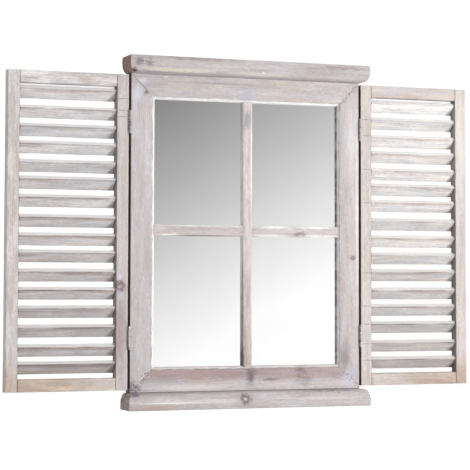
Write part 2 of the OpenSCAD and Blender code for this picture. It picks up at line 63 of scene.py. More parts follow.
# ---- The view ----
# The lens looks in from the mirror's left and a little upwards, from about three metres
# away, so the uprights lean together towards the top. A small downward shift of the lens
# brings the mirror to its place in the picture.
picture_px = 470
focal_px = 1746
shift_px = -55
sensor_mm = 36
view_yaw = math.radians(20.82)
view_pitch = math.radians(3.375)
view_roll = math.radians(0.12)
view_distance = 3.031
view_aim = Vector((-0.0236, 0.003, 0.393))

sight = Vector((math.sin(view_yaw) * math.cos(view_pitch),
                math.cos(view_yaw) * math.cos(view_pitch), math.sin(view_pitch)))
level_right = Vector((math.cos(view_yaw), -math.sin(view_yaw), 0))
level_up = level_right.cross(sight)
camera_right = level_right * math.cos(view_roll) + level_up * math.sin(view_roll)
camera_up = camera_right.cross(sight)
bpy.ops.object.camera_add()
camera = bpy.context.object
camera.name = "camera"
camera.data.sensor_width = sensor_mm
camera.data.lens = focal_px / picture_px * sensor_mm
camera.data.shift_y = shift_px / picture_px
camera.data.clip_end = 50
camera.matrix_world = Matrix.Translation(view_aim - sight * view_distance) @ Matrix(
    (camera_right, camera_up, -sight)).transposed().to_4x4()
bpy.context.scene.camera = camera

# ---- Frame members ----
# Four mitred lengths of moulded fir carry everything else. They were brushed with lime
# wash along the grain, thickest on the nosing round the glass; the right stile's nosing, turned
# from the light, is painted grey as painted shade, and a line of painted shade runs along the
# nosing's borders. The outer sides are left bare and painted dark as the shade in the gap by
# the shutters. The mitres have opened a little, so a dark line shows at each corner.
half_frame = 0.213
half_opening = 0.170
opening_mid_z = 0.300
half_opening_h = 0.2285
nosing_w = 0.0043


def srgb(red, green, blue):
    """A colour from its 0 to 255 values, as the linear one that shaders take."""
    def linear(v):
        v /= 255
        return v / 12.92 if v <= 0.04045 else ((v + 0.055) / 1.055) ** 2.4
    return (linear(red), linear(green), linear(blue), 1)


def node(tree, kind, sockets={}, **settings):
    """Adds a shader node; each socket is given a value or the output that feeds it."""
    made = tree.nodes.new(kind)
    for name, value in settings.items():
        setattr(made, name, value)
    for key, value in sockets.items():
        if isinstance(value, bpy.types.NodeSocket):
            tree.links.new(value, made.inputs[key])
        else:
            made.inputs[key].default_value = value
    return made


def maths(tree, operation, a, b=0.0):
    """One sum on numbers."""
    return node(tree, "ShaderNodeMath", {0: a, 1: b}, operation=operation).outputs[0]


def vector_maths(tree, operation, a, b=(0, 0, 0)):
    """One sum on vectors; a length and a dot product come out as numbers."""
    made = node(tree, "ShaderNodeVectorMath", {0: a, 1: b}, operation=operation)
    return made.outputs["Value" if operation in ("LENGTH", "DOT_PRODUCT") else "Vector"]


def axes(tree, vector):
    """The three numbers of a vector."""
    return node(tree, "ShaderNodeSeparateXYZ", {0: vector}).outputs


def fade(tree, value, low, high, to_low=0.0, to_high=1.0):
    """A smooth step from to_low to to_high, as the value goes from low to high."""
    sockets = {"Value": value, 1: low, 2: high, 3: to_low, 4: to_high}
    return node(tree, "ShaderNodeMapRange", sockets, interpolation_type="SMOOTHSTEP").outputs[0]


def tint(tree, amount, under, over, mode="MIX"):
    """One colour laid over another."""
    sockets = {0: amount, 6: under, 7: over}
    return node(tree, "ShaderNodeMix", sockets, data_type="RGBA", blend_type=mode).outputs[2]


def noise(tree, vector, stretch, detail=2.0, roughness=0.5, output="Fac"):
    """Noise with one size of patch along each axis, given as patches per metre."""
    scaled = vector_maths(tree, "MULTIPLY", vector, stretch)
    sockets = {"Vector": scaled, "Scale": 1.0, "Detail": detail, "Roughness": roughness}
    return node(tree, "ShaderNodeTexNoise", sockets).outputs[output]


def new_group(name, inputs, outputs):
    """An empty shader group with named sockets: the group, what comes in, what goes out."""
    group = bpy.data.node_groups.new(name, "ShaderNodeTree")
    for socket, kind in inputs:
        group.interface.new_socket(name=socket, in_out="INPUT", socket_type="NodeSocket" + kind)
    for socket, kind in outputs:
        group.interface.new_socket(name=socket, in_out="OUTPUT", socket_type="NodeSocket" + kind)
    given = group.nodes.new("NodeGroupInput").outputs
    return group, given, group.nodes.new("NodeGroupOutput").inputs


def placed(tree, group, sockets):
    """Places a shader group in a material, with its own values."""
    return node(tree, "ShaderNodeGroup", sockets, node_tree=group).outputs


def new_material(name):
    """A new material, its node tree, its shader, and the place of each point on the object."""
    material = bpy.data.materials.new(name)
    material.use_nodes = True
    tree = material.node_tree
    place = node(tree, "ShaderNodeTexCoord").outputs["Object"]
    return material, tree, tree.nodes["Principled BSDF"], place


bare_wood = srgb(164, 147, 140)
pink_wash = srgb(206, 196, 194)
cool_wash = srgb(202, 199, 204)
tan_stain = srgb(204, 192, 181)
pore_brown = srgb(104, 88, 86)
chalk_fleck = srgb(242, 240, 240)
# A dark brown for dirt, which also serves as painted shade along the nosing and where slats meet
# stiles.
dirt_and_shade = srgb(92, 76, 72)
knot_ring = srgb(122, 104, 108)
knot_eye = srgb(214, 205, 208)

# Fir under lime wash, with its grain along the vector's X. The wash dried in soft patches of
# several tones, it is thinner along some streaks of the grain, and flecks of wood, pores and
# chalky spots show all over it.
limed_fir, given, result = new_group(
    "limed fir",
    [("Vector", "Vector"), ("Bare Wood", "Color"), ("Wash", "Color"), ("Cool Wash", "Color"),
     ("Tan", "Color"), ("Cover", "Float")],
    [("Color", "Color"), ("Roughness", "Float"), ("Height", "Float")])
wander = noise(limed_fir, given["Vector"], (5.0, 14.0, 14.0), output="Color")
wander = vector_maths(limed_fir, "SUBTRACT", wander, (0.5, 0.5, 0.5))
bend = vector_maths(limed_fir, "MULTIPLY", wander, (0.0, 0.022, 0.022))
bent = vector_maths(limed_fir, "ADD", given["Vector"], bend)
growth = node(limed_fir, "ShaderNodeTexWave", {
    "Vector": bent, "Scale": 88.0, "Distortion": 2.5, "Detail": 3.0, "Detail Scale": 0.12},
    wave_type="RINGS", rings_direction="X").outputs["Fac"]
streak = noise(limed_fir, bent, (11.0, 120.0, 120.0), 3.0, 0.6)
fibre = noise(limed_fir, bent, (38.0, 560.0, 560.0), 3.0, 0.65)
pore = noise(limed_fir, bent, (70.0, 1500.0, 1500.0))
mottle = noise(limed_fir, given["Vector"], (150.0, 420.0, 420.0), 4.0, 0.65)
patch = noise(limed_fir, given["Vector"], (15.0, 70.0, 70.0), 4.0, 0.6, output="Color")
patch = node(limed_fir, "ShaderNodeSeparateColor", {"Color": patch}).outputs
cooled = fade(limed_fir, patch["Red"], 0.42, 0.60)
wash = tint(limed_fir, cooled, given["Wash"], given["Cool Wash"])
tanned = fade(limed_fir, patch["Green"], 0.52, 0.68, 0.0, 0.75)
wash = tint(limed_fir, tanned, wash, given["Tan"])
cover = given["Cover"]
for wear, low, high, thin, thick in ((streak, 0.28, 0.62, -0.22, 0.10),
                                     (growth, 0.45, 0.95, 0.04, -0.12),
                                     (mottle, 0.34, 0.60, -0.18, 0.06)):
    cover = maths(limed_fir, "ADD", cover, fade(limed_fir, wear, low, high, thin, thick))
cover = node(limed_fir, "ShaderNodeClamp", {"Value": cover}).outputs[0]
limed = tint(limed_fir, cover, given["Bare Wood"], wash)
limed = tint(limed_fir, fade(limed_fir, pore, 0.62, 0.72, 0.0, 0.22), limed, pore_brown)
limed = tint(limed_fir, fade(limed_fir, mottle, 0.60, 0.72, 0.0, 0.45), limed, chalk_fleck)
lift = maths(limed_fir, "MULTIPLY", fade(limed_fir, fibre, 0.3, 0.7, 0.955, 1.03),
             fade(limed_fir, patch["Blue"], 0.35, 0.65, 0.95, 1.03))
lift = node(limed_fir, "ShaderNodeCombineXYZ", {0: lift, 1: lift, 2: lift}).outputs[0]
limed_fir.links.new(vector_maths(limed_fir, "MULTIPLY", limed, lift), result["Color"])
limed_fir.links.new(fade(limed_fir, cover, 0.3, 1.0, 0.62, 0.85), result["Roughness"])
height = maths(limed_fir, "ADD", maths(limed_fir, "MULTIPLY", fibre, 0.5),
               maths(limed_fir, "MULTIPLY", mottle, 0.4))
height = maths(limed_fir, "SUBTRACT", height, maths(limed_fir, "MULTIPLY", growth, 0.2))
limed_fir.links.new(height, result["Height"])

# How far a point lies inside a board, from the nearest face on each axis, and from the
# nearest of the board's edges.
depths, given, result = new_group(
    "depths in a board", [("Vector", "Vector"), ("Low", "Vector"), ("High", "Vector")],
    [("X", "Float"), ("Y", "Float"), ("Z", "Float"), ("Edge", "Float")])
from_low = axes(depths, vector_maths(depths, "SUBTRACT", given["Vector"], given["Low"]))
from_high = axes(depths, vector_maths(depths, "SUBTRACT", given["High"], given["Vector"]))
in_x, in_y, in_z = (maths(depths, "MINIMUM", from_low[i], from_high[i]) for i in range(3))
edge = maths(depths, "MAXIMUM", maths(depths, "MINIMUM", in_x, in_y),
             maths(depths, "MINIMUM", maths(depths, "MAXIMUM", in_x, in_y), in_z))
for output, depth in (("X", in_x), ("Y", in_y), ("Z", in_z), ("Edge", edge)):
    depths.links.new(depth, result[output])

# A soft ragged spot: one where it is centred, down to nothing at the given half sizes.
soft_spot, given, result = new_group(
    "soft spot",
    [("Vector", "Vector"), ("Grain", "Vector"), ("Centre", "Vector"), ("Half Size", "Vector"),
     ("Ragged", "Float")],
    [("Mask", "Float")])
off = vector_maths(soft_spot, "SUBTRACT", given["Vector"], given["Centre"])
off = vector_maths(soft_spot, "DIVIDE", off, given["Half Size"])
rough = noise(soft_spot, given["Grain"], (75, 240, 240), 5.0, 0.7)
rough = maths(soft_spot, "MULTIPLY", maths(soft_spot, "SUBTRACT", rough, 0.5), given["Ragged"])
away = maths(soft_spot, "ADD", vector_maths(soft_spot, "LENGTH", off), rough)
soft_spot.links.new(fade(soft_spot, away, 0.15, 1.05, 1.0, 0.0), result["Mask"])

# A knot: a pale eye in a dark, broken ring, with the grain darker round it.
fir_knot, given, result = new_group(
    "fir knot", [("Vector", "Vector"), ("Centre", "Vector"), ("Radius", "Float")],
    [("Ring", "Float"), ("Eye", "Float"), ("Halo", "Float")])
off = vector_maths(fir_knot, "SUBTRACT", given["Vector"], given["Centre"])
away = maths(fir_knot, "DIVIDE", vector_maths(fir_knot, "LENGTH", off), given["Radius"])
rough = maths(fir_knot, "SUBTRACT", noise(fir_knot, given["Vector"], (190, 190, 190), 3.0), 0.5)
away = maths(fir_knot, "ADD", away, maths(fir_knot, "MULTIPLY", rough, 1.3))
ring = maths(fir_knot, "MULTIPLY", fade(fir_knot, away, 0.1, 0.45),
             fade(fir_knot, away, 0.55, 1.25, 1.0, 0.0))
broken = noise(fir_knot, given["Vector"], (330, 330, 330), 3.0)
ring = maths(fir_knot, "MULTIPLY", ring, fade(fir_knot, broken, 0.35, 0.6, 0.6, 1.0))
fir_knot.links.new(ring, result["Ring"])
fir_knot.links.new(fade(fir_knot, away, 0.0, 0.3, 1.0, 0.0), result["Eye"])
fir_knot.links.new(fade(fir_knot, away, 0.5, 2.2, 1.0, 0.0), result["Halo"])

grain_spread = (3, 0.05, 0.05)
hard_border = 0.001
rubbed_w = 0.0016
grain_depth = 0.0006


def limed_timber(name, box, along, seed, wash=pink_wash, cool=cool_wash, tan=tan_stain, cover=0.84,
                 joint_axis=None, joint_dirt_and_shade_w=0.0008, coats=(), knots=(), spots=(), stains=()):
    """The material of one board. box is its place, along the axis of its grain, joint_axis the
    axis on which it butts against its neighbours, where a dark line is drawn: grime at the ends
    of the rails, and painted shade where the slats go into the stiles. Each coat has a direction,
    a level along it, the colour beyond that level, its strength, and how soft its border is; a
    soft one is a glaze. Some coats are painted shade, and some painted light, on a board's sides.
    Each knot has a centre and a radius. Each lightening spot (wash, and in places painted light)
    and each darkening mark (stain, and in places painted shade) has a centre, half sizes, a
    colour, its strength, and how ragged it is."""
    material, tree, shader, place = new_material(name)
    turn = {"X": (0, 0, 0), "Z": (0, math.pi / 2, 0)}[along]
    pick = random.Random(seed)
    offset = tuple(pick.uniform(-1, 1) * reach for reach in grain_spread)
    sockets = {"Vector": place, "Rotation": turn, "Location": offset}
    grained = node(tree, "ShaderNodeMapping", sockets).outputs[0]
    fir = placed(tree, limed_fir, {"Vector": grained, "Bare Wood": bare_wood, "Wash": wash,
                                   "Cool Wash": cool, "Tan": tan, "Cover": cover})
    colour = fir["Color"]
    for direction, level, coat_colour, strength, softness in coats:
        over = maths(tree, "SUBTRACT", vector_maths(tree, "DOT_PRODUCT", place, direction), level)
        amount = maths(tree, "MULTIPLY", fade(tree, over, -softness, softness), strength)
        mode = "MIX" if softness < hard_border else "MULTIPLY"
        colour = tint(tree, amount, colour, coat_colour, mode)
    for marks, mode in ((spots, "MIX"), (stains, "MULTIPLY")):
        for centre, half_size, mark_colour, strength, ragged in marks:
            spot = placed(tree, soft_spot, {"Vector": place, "Grain": grained, "Centre": centre,
                                            "Half Size": half_size, "Ragged": ragged})
            amount = maths(tree, "MULTIPLY", spot["Mask"], strength)
            colour = tint(tree, amount, colour, mark_colour, mode)
    for centre, radius in knots:
        knot = placed(tree, fir_knot, {"Vector": place, "Centre": centre, "Radius": radius})
        for zone, strength, zone_colour in (("Halo", 0.4, bare_wood), ("Ring", 0.92, knot_ring),
                                            ("Eye", 0.5, knot_eye)):
            amount = maths(tree, "MULTIPLY", knot[zone], strength)
            colour = tint(tree, amount, colour, zone_colour)
    depth = placed(tree, depths, {"Vector": place, "Low": box[0], "High": box[1]})
    rubbed = maths(tree, "MULTIPLY", fade(tree, depth["Edge"], 0.0, rubbed_w, 1.0, 0.0),
                   fade(tree, noise(tree, place, (60, 60, 60)), 0.42, 0.62, 0.0, 0.5))
    colour = tint(tree, rubbed, colour, dirt_and_shade)
    # A dark line along the joints: grime at the ends of the rails, painted shade where the slats go
    # into the stiles.
    if joint_axis:
        line = fade(tree, depth[joint_axis], joint_dirt_and_shade_w * 0.4, joint_dirt_and_shade_w, 0.85, 0.0)
        filled = fade(tree, noise(tree, place, (90, 90, 90)), 0.35, 0.6, 0.35, 1.0)
        colour = tint(tree, maths(tree, "MULTIPLY", line, filled), colour, dirt_and_shade)
    bump = node(tree, "ShaderNodeBump", {
        "Strength": 0.5, "Distance": grain_depth, "Height": fir["Height"]})
    tree.links.new(bump.outputs[0], shader.inputs["Normal"])
    tree.links.new(fir["Roughness"], shader.inputs["Roughness"])
    tree.links.new(colour, shader.inputs["Base Color"])
    shader.inputs["Specular IOR Level"].default_value = 0.3
    return material


def paint_over(material):
    """Opens a board's material for more paint: its tree, its shader, the place of each point,
    and its colour so far."""
    tree = material.node_tree
    shader = tree.nodes["Principled BSDF"]
    place = tree.nodes["Texture Coordinate"].outputs["Object"]
    return tree, shader, place, shader.inputs["Base Color"].links[0].from_socket


merge_gap = 0.000005
flat_angle = math.radians(0.5)
sharp_angle = math.radians(35)
shortest_eased = 0.004


def eased_copy(node_name, name, width, smooth_angle=30):
    """A copy of a CAD board with its long sharp edges rounded over, as sandpaper leaves them."""
    source = frame["nodes"][node_name]
    piece = bpy.data.objects.new(name, source.data.copy())
    bpy.context.scene.collection.objects.link(piece)
    piece.data.materials.clear()
    bpy.ops.object.select_all(action="DESELECT")
    piece.select_set(True)
    bpy.context.view_layer.objects.active = piece
    bpy.ops.object.mode_set(mode="EDIT")
    bpy.ops.mesh.select_all(action="SELECT")
    bpy.ops.mesh.remove_doubles(threshold=merge_gap)
    bpy.ops.mesh.dissolve_limited(angle_limit=flat_angle)
    bpy.ops.object.mode_set(mode="OBJECT")
    weights = piece.data.attributes.new("bevel_weight_edge", "FLOAT", "EDGE")
    faces_at = {}
    for face in piece.data.polygons:
        for key in face.edge_keys:
            faces_at.setdefault(key, []).append(face.normal)
    for edge in piece.data.edges:
        ends = [piece.data.vertices[i].co for i in edge.vertices]
        meeting = faces_at.get(tuple(sorted(edge.vertices)), [])
        long_edge = (ends[0] - ends[1]).length > shortest_eased
        if len(meeting) == 2 and long_edge and meeting[0].angle(meeting[1]) > sharp_angle:
            weights.data[edge.index].value = 1.0
    rounding = piece.modifiers.new("rounded edges", "BEVEL")
    rounding.limit_method = "WEIGHT"
    rounding.width = width
    rounding.segments = 2
    rounding.use_clamp_overlap = False
    bpy.ops.object.modifier_apply(modifier=rounding.name)
    bpy.ops.object.shade_smooth_by_angle(angle=math.radians(smooth_angle))
    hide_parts(node_name)
    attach(piece, frame["nodes"][node_name]["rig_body"])
    return piece


# Distance from the opening, for the nosing, and from the mitre lines, for the dirt in them.
from_opening, given, result = new_group(
    "distances from the opening", [("Vector", "Vector")], [("Out", "Float"), ("Mitre", "Float")])
across, _, up = axes(from_opening, given["Vector"])
beside = maths(from_opening, "SUBTRACT", maths(from_opening, "ABSOLUTE", across), half_opening)
off_middle = maths(from_opening, "ABSOLUTE", maths(from_opening, "SUBTRACT", up, opening_mid_z))
above = maths(from_opening, "SUBTRACT", off_middle, half_opening_h)
from_mitre = maths(from_opening, "ABSOLUTE", maths(from_opening, "SUBTRACT", beside, above))
from_opening.links.new(maths(from_opening, "MAXIMUM", beside, above), result["Out"])
from_opening.links.new(from_mitre, result["Mitre"])

corner_chalk = srgb(228, 227, 232)
corner_soot = srgb(88, 76, 82)
crumbled_reach = (0.034, 0.034, 0.034)


def finish_at_opening(material, nosing_wash_and_shade, whiteness, border_shade, mitre_dirt, crumbled):
    """Adds to a frame member the colour on its nosing, thick wash on most members and a grey of
    painted shade on one turned from the light, a line of painted shade along the nosing's two
    borders and grimy lines in the open mitres, each with its strength, and crumbled filler at
    some corners, each given by its centre and strength."""
    tree, shader, place, colour = paint_over(material)
    near = placed(tree, from_opening, {"Vector": place})
    drips = noise(tree, place, (60, 60, 60), 4.0, 0.6)
    out = maths(tree, "ADD", near["Out"], fade(tree, drips, 0.35, 0.7, 0.0006, -0.0012))
    broken = noise(tree, place, (70, 70, 70), 3.0)
    # The nosing takes its colour here: thick wash, and on the right stile a grey of painted shade.
    thick = maths(tree, "MULTIPLY", fade(tree, out, nosing_w - 0.0009, nosing_w + 0.0010, 1.0, 0.0),
                  fade(tree, broken, 0.3, 0.6, 0.6 * whiteness, 0.95 * whiteness))
    colour = tint(tree, thick, colour, nosing_wash_and_shade)
    # A line of painted shade along both borders of the nosing.
    from_border = maths(tree, "ABSOLUTE", maths(tree, "SUBTRACT", out, nosing_w))
    border = maths(tree, "MAXIMUM", fade(tree, from_border, 0.0002, 0.0010, 1.0, 0.0),
                   fade(tree, near["Out"], 0.0004, 0.0012, 1.0, 0.0))
    border = maths(tree, "MULTIPLY", border,
                   fade(tree, broken, 0.35, 0.6, 0.1 * border_shade, border_shade))
    colour = tint(tree, border, colour, dirt_and_shade)
    open_mitre = maths(tree, "MULTIPLY", fade(tree, near["Mitre"], 0.0003, 0.0011, 1.0, 0.0),
                       fade(tree, broken, 0.38, 0.6, 0.1 * mitre_dirt, mitre_dirt))
    colour = tint(tree, open_mitre, colour, dirt_and_shade)
    crumb = noise(tree, place, (300, 300, 300), 3.0, 0.6)
    for centre, strength in crumbled:
        corner = placed(tree, soft_spot, {
            "Vector": place, "Centre": centre, "Half Size": crumbled_reach})
        here = maths(tree, "MULTIPLY", fade(tree, near["Mitre"], 0.004, 0.011, strength, 0.0),
                     fade(tree, corner["Mask"], 0.1, 0.5))
        pale = maths(tree, "MULTIPLY", here, fade(tree, crumb, 0.38, 0.46, 1.0, 0.0))
        dark = maths(tree, "MULTIPLY", here, fade(tree, crumb, 0.53, 0.61))
        colour = tint(tree, dark, tint(tree, pale, colour, corner_chalk), corner_soot)
    tree.links.new(colour, shader.inputs["Base Color"])


frame_face_y = 0.003
brown_pink = srgb(222, 208, 207)
grime = srgb(150, 140, 146)
soot = srgb(112, 100, 106)
gap_shadow = srgb(122, 102, 96)
nosing_wash = srgb(240, 239, 239)
# The outer sides of the frame are left bare and painted dark as the shade in the gap by the
# shutters.
gap_shade_w = 0.0007
gap_shaded_sides = [((way, 0, 0), half_frame - gap_shade_w, gap_shadow, 1.0, 0.0003) for way in (-1, 1)]
frame_members = {
    "frame_top_rail": dict(
        along="X", seed=11, wash=srgb(210, 201, 198), cover=0.88, coats=gap_shaded_sides,
        spots=[
            ((-0.194, frame_face_y, 0.559), (0.014, 0.02, 0.007), corner_chalk, 0.6, 1.2),
            ((-0.151, frame_face_y, 0.5675), (0.005, 0.02, 0.0020), corner_chalk, 0.9, 0.8),
            ((-0.120, frame_face_y, 0.553), (0.060, 0.02, 0.012), srgb(212, 200, 180), 0.35, 1.2),
            ((0.000, frame_face_y, 0.535), (0.022, 0.02, 0.016), srgb(184, 184, 200), 0.8, 1.6)],
        stains=[
            ((-0.060, frame_face_y, 0.560), (0.110, 0.02, 0.003), grime, 0.3, 1.4)]),
    "frame_bottom_rail": dict(
        along="X", seed=12, wash=srgb(208, 199, 197), cover=0.88,
        coats=[
            ((0, 0, 1), 0.0475, brown_pink, 1.0, 0.009),
            # A dark line along the foot of the rail, painted shade where the rail meets the sill.
            ((0, 0, -1), -0.0297, srgb(128, 110, 104), 0.7, 0.0004)] + gap_shaded_sides,
        spots=[
            ((0.194, frame_face_y, 0.042), (0.024, 0.02, 0.018), srgb(204, 198, 210), 0.7, 1.8),
            ((-0.110, frame_face_y, 0.036), (0.090, 0.02, 0.007), srgb(226, 222, 222), 0.6, 1.2)],
        stains=[
            ((0.006, frame_face_y, 0.058), (0.014, 0.02, 0.026), grime, 0.5, 2.2),
            ((0.007, frame_face_y, 0.0510), (0.006, 0.02, 0.010), soot, 0.35, 2.6),
            ((0.101, frame_face_y, 0.066), (0.014, 0.02, 0.016), grime, 0.55, 3.0),
            ((0.110, frame_face_y, 0.044), (0.018, 0.02, 0.014), grime, 0.4, 3.4),
            ((0.045, frame_face_y, 0.047), (0.020, 0.02, 0.004), grime, 0.6, 3.0),
            ((-0.204, frame_face_y, 0.036), (0.014, 0.02, 0.010), soot, 0.6, 3.0)]),
    "frame_left_stile": dict(
        along="Z", seed=13, wash=srgb(195, 190, 190), tan=srgb(200, 193, 186), cover=0.88,
        coats=gap_shaded_sides,
        spots=[
            ((-0.201, frame_face_y, 0.540), (0.012, 0.02, 0.022), srgb(214, 215, 227), 0.7, 1.0)],
        stains=[
            ((-0.208, frame_face_y, 0.038), (0.010, 0.02, 0.014), soot, 0.6, 3.0),
            ((-0.1720, frame_face_y, 0.085), (0.0040, 0.02, 0.040), srgb(196, 190, 198), 1.0, 1.0),
            ((-0.185, frame_face_y, 0.5395), (0.005, 0.02, 0.007), grime, 0.8, 2.6)]),
    "frame_right_stile": dict(
        along="Z", seed=14, wash=srgb(205, 198, 198), tan=srgb(208, 199, 193), cover=0.90,
        coats=gap_shaded_sides, knots=[((0.2001, frame_face_y, 0.2596), 0.0042)],
        spots=[
            ((0.209, frame_face_y, 0.330), (0.005, 0.02, 0.200), srgb(232, 228, 224), 0.7, 1.0),
            ((0.200, frame_face_y, 0.470), (0.016, 0.02, 0.100), srgb(228, 222, 220), 0.5, 1.0),
            ((0.197, frame_face_y, 0.052), (0.018, 0.02, 0.030), srgb(196, 190, 204), 0.7, 1.8)],
        stains=[
            ((0.1750, frame_face_y, 0.300), (0.0019, 0.02, 0.900), srgb(208, 200, 204), 0.5, 0.3),
            ((0.186, frame_face_y, 0.086), (0.016, 0.02, 0.034), grime, 0.45, 1.6),
            ((0.1735, frame_face_y, 0.5250), (0.0045, 0.02, 0.009), soot, 1.0, 1.6),
            ((0.1725, frame_face_y, 0.3160), (0.004, 0.02, 0.005), soot, 1.0, 1.6),
            ((0.1725, frame_face_y, 0.2930), (0.004, 0.02, 0.005), soot, 1.0, 1.6),
            ((0.1725, frame_face_y, 0.0740), (0.004, 0.02, 0.006), soot, 1.0, 1.6)]),
}
member_ease = 0.0006
low_left = ((-0.196, frame_face_y, 0.045), 0.85)
low_right = ((0.199, frame_face_y, 0.042), 0.5)
top_right = ((0.190, frame_face_y, 0.550), 0.5)
# Each member's nosing colour, its whiteness, the strength of the painted shade along the nosing's
# borders, the strength of the mitre dirt, and the crumbled corners. The right stile's nosing is
# turned from the light, so it is painted grey as painted shade.
opening_finish = {
    "frame_top_rail": (nosing_wash, 1.0, 0.15, 0.8, [top_right]),
    "frame_bottom_rail": (nosing_wash, 0.6, 0.35, 0.3, [low_left, low_right]),
    "frame_left_stile": (nosing_wash, 1.0, 0.15, 0.9, [low_left]),
    "frame_right_stile": (srgb(182, 182, 184), 1.0, 0.65, 0.25, [low_right, top_right]),
}
for part, finish in frame_members.items():
    member = eased_copy(part, part + "_moulded", member_ease)
    timber = limed_timber(part + " timber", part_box(part), **finish)
    finish_at_opening(timber, *opening_finish[part])
    member.data.materials.append(timber)

# ---- Cornice and sill ----
# Two planed boards, wider and deeper than the frame, fixed to it above and below. A round
# is worked along the front and returned on both ends, where the end grain has drunk the
# stain and shows reddish brown through almost no wash.
board_end = 0.2225
board_front_y = -0.025
board_round_w = 0.0095
board_ease = 0.0007
board_smoothing = 40
rounds = {"cornice": (0.5885, 0.5715), "sill": (0.0095, 0.0285)}
end_grains = {
    "cornice": (srgb(190, 158, 148), srgb(128, 100, 94)),
    "sill": (srgb(192, 176, 165), srgb(136, 116, 108)),
}
cream = srgb(220, 211, 192)
chalk = srgb(240, 238, 238)
board_finish = {
    "cornice": dict(
        seed=21, wash=srgb(196, 190, 191), tan=srgb(201, 190, 184), cover=0.86,
        spots=[
            ((-0.140, -0.019, 0.5770), (0.090, 0.02, 0.0042), cream, 0.8, 1.6),
            ((0.020, -0.019, 0.5765), (0.080, 0.02, 0.0042), cream, 0.6, 1.6),
            ((0.140, -0.019, 0.5770), (0.085, 0.02, 0.0042), srgb(218, 211, 204), 0.6, 1.8),
            ((0.0187, -0.022, 0.5788), (0.003, 0.02, 0.002), chalk, 0.9, 0.8)],
        stains=[
            ((-0.216, -0.019, 0.5740), (0.010, 0.014, 0.007), soot, 1.0, 1.6),
            ((-0.207, -0.025, 0.5885), (0.009, 0.02, 0.008), srgb(176, 174, 190), 0.8, 3.0),
            ((-0.190, -0.025, 0.5870), (0.010, 0.02, 0.007), grime, 0.6, 4.0),
            ((0.150, -0.025, 0.5860), (0.160, 0.04, 0.030), srgb(236, 233, 233), 1.0, 0.8),
            ((0.160, -0.025, 0.5930), (0.060, 0.02, 0.004), grime, 0.3, 3.0),
            ((-0.100, -0.025, 0.597), (0.110, 0.02, 0.004), grime, 0.4, 2.4)]),
    "sill": dict(
        seed=22, wash=srgb(194, 186, 188), tan=srgb(199, 187, 180), cover=0.84,
        knots=[((-0.0134, -0.0235, 0.0162), 0.0105)],
        spots=[
            # Pale bands and a chalky line along the round of the sill, where a worn arris is
            # brightened as a painted highlight.
            ((-0.090, -0.0225, 0.0145), (0.150, 0.02, 0.0046), srgb(216, 211, 208), 0.5, 1.6),
            ((-0.150, -0.0245, 0.0122), (0.080, 0.006, 0.0016), chalk, 0.8, 0.8),
            ((0.125, -0.0225, 0.0150), (0.110, 0.02, 0.0040), srgb(219, 213, 209), 0.6, 1.6),
            ((-0.175, -0.025, 0.006), (0.034, 0.02, 0.007), srgb(190, 166, 148), 0.7, 1.4)],
        stains=[
            ((0.150, -0.012, 0.0270), (0.070, 0.02, 0.005), soot, 0.45, 4.0),
            ((-0.212, -0.014, 0.026), (0.014, 0.02, 0.006), soot, 0.7, 4.0)]),
}

# One on the end faces of a board, whose round starts at one height and runs out at another.
board_ends, given, result = new_group(
    "board ends",
    [("Vector", "Vector"), ("Round Start", "Float"), ("Round Limit", "Float")],
    [("End", "Float")])
across, deep, up = axes(board_ends, given["Vector"])
across = maths(board_ends, "ABSOLUTE", across)
run = maths(board_ends, "SUBTRACT", given["Round Limit"], given["Round Start"])
share = maths(board_ends, "DIVIDE", maths(board_ends, "SUBTRACT", up, given["Round Start"]), run)
share = node(board_ends, "ShaderNodeClamp", {"Value": share}).outputs[0]
square = maths(board_ends, "SUBTRACT", 1.0, maths(board_ends, "MULTIPLY", share, share))
inset = maths(board_ends, "SUBTRACT", 1.0, maths(board_ends, "SQRT", square))
inset = maths(board_ends, "MULTIPLY", inset, board_round_w)
outermost = fade(board_ends, maths(board_ends, "ADD", across, inset),
                 board_end - 0.0014, board_end - 0.0008)
front_corner = board_end + board_front_y
behind = fade(board_ends, maths(board_ends, "ADD", across, deep),
              front_corner - 0.0004, front_corner + 0.0004)
board_ends.links.new(maths(board_ends, "MULTIPLY", outermost, behind), result["End"])

for part, finish in board_finish.items():
    board = eased_copy(part, part + "_board", board_ease, board_smoothing)
    timber = limed_timber(part + " timber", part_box(part), "X", **finish)
    tree, shader, place, colour = paint_over(timber)
    round_start, round_limit = rounds[part]
    ends = placed(tree, board_ends, {
        "Vector": place, "Round Start": round_start, "Round Limit": round_limit})
    ring_tone = fade(tree, noise(tree, place, (90, 90, 150), 5.0, 0.7), 0.36, 0.64)
    grain = tint(tree, ring_tone, *end_grains[part])
    colour = tint(tree, maths(tree, "MULTIPLY", ends["End"], 0.9), colour, grain)
    tree.links.new(colour, shader.inputs["Base Color"])
    board.data.materials.append(timber)

